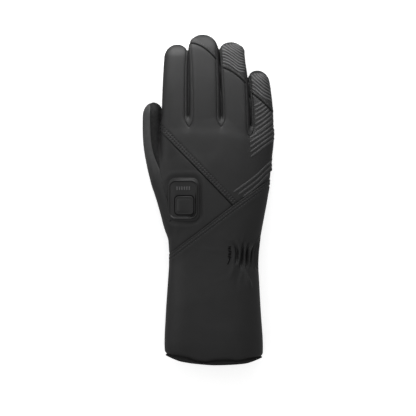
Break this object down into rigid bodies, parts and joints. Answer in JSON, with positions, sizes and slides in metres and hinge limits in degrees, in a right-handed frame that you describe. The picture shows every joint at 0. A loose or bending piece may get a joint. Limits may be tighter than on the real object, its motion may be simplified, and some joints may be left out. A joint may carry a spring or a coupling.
{
  "type": "heated glove",
  "caption": "Padded softshell winter glove for the right hand with a long flared cuff, ribbed side and a moulded heating control on the back.",
  "frame": {"origin": "on the surface the glove lies on, under the middle of its outline", "axes": "+Y towards the fingertips, +Z out of the back of the hand, thumb towards -X"},
  "size_m": [0.1205, 0.3008, 0.0499],
  "materials": {
    "softshell": "matt brushed softshell",
    "gusset_fabric": "matt stretch fabric",
    "tip_fabric": "ribbed stretch fabric",
    "palm_fabric": "grained matt suede-like fabric",
    "lining_knit": "soft knit",
    "control_rubber": "satin moulded",
    "light_window": "translucent grey"
  },
  "bodies": {
    "root": {"gauntlet": "softshell", "hand_back": "softshell", "wrist_panel": "softshell", "palm": "palm_fabric", "thumb_outer": "softshell", "thumb_inner": "palm_fabric", "index_middle_fourchette": "gusset_fabric", "middle_ring_fourchette": "gusset_fabric", "ring_little_fourchette": "gusset_fabric", "middle_tip": "tip_fabric", "ring_tip": "tip_fabric", "little_tip": "tip_fabric", "cuff_lining": "lining_knit", "control_housing": "control_rubber", "control_key": "control_rubber", "level_light_1": "light_window", "level_light_2": "light_window", "level_light_3": "light_window", "level_light_4": "light_window", "level_light_5": "light_window", "level_light_6": "light_window"}
  },
  "joints": []
}
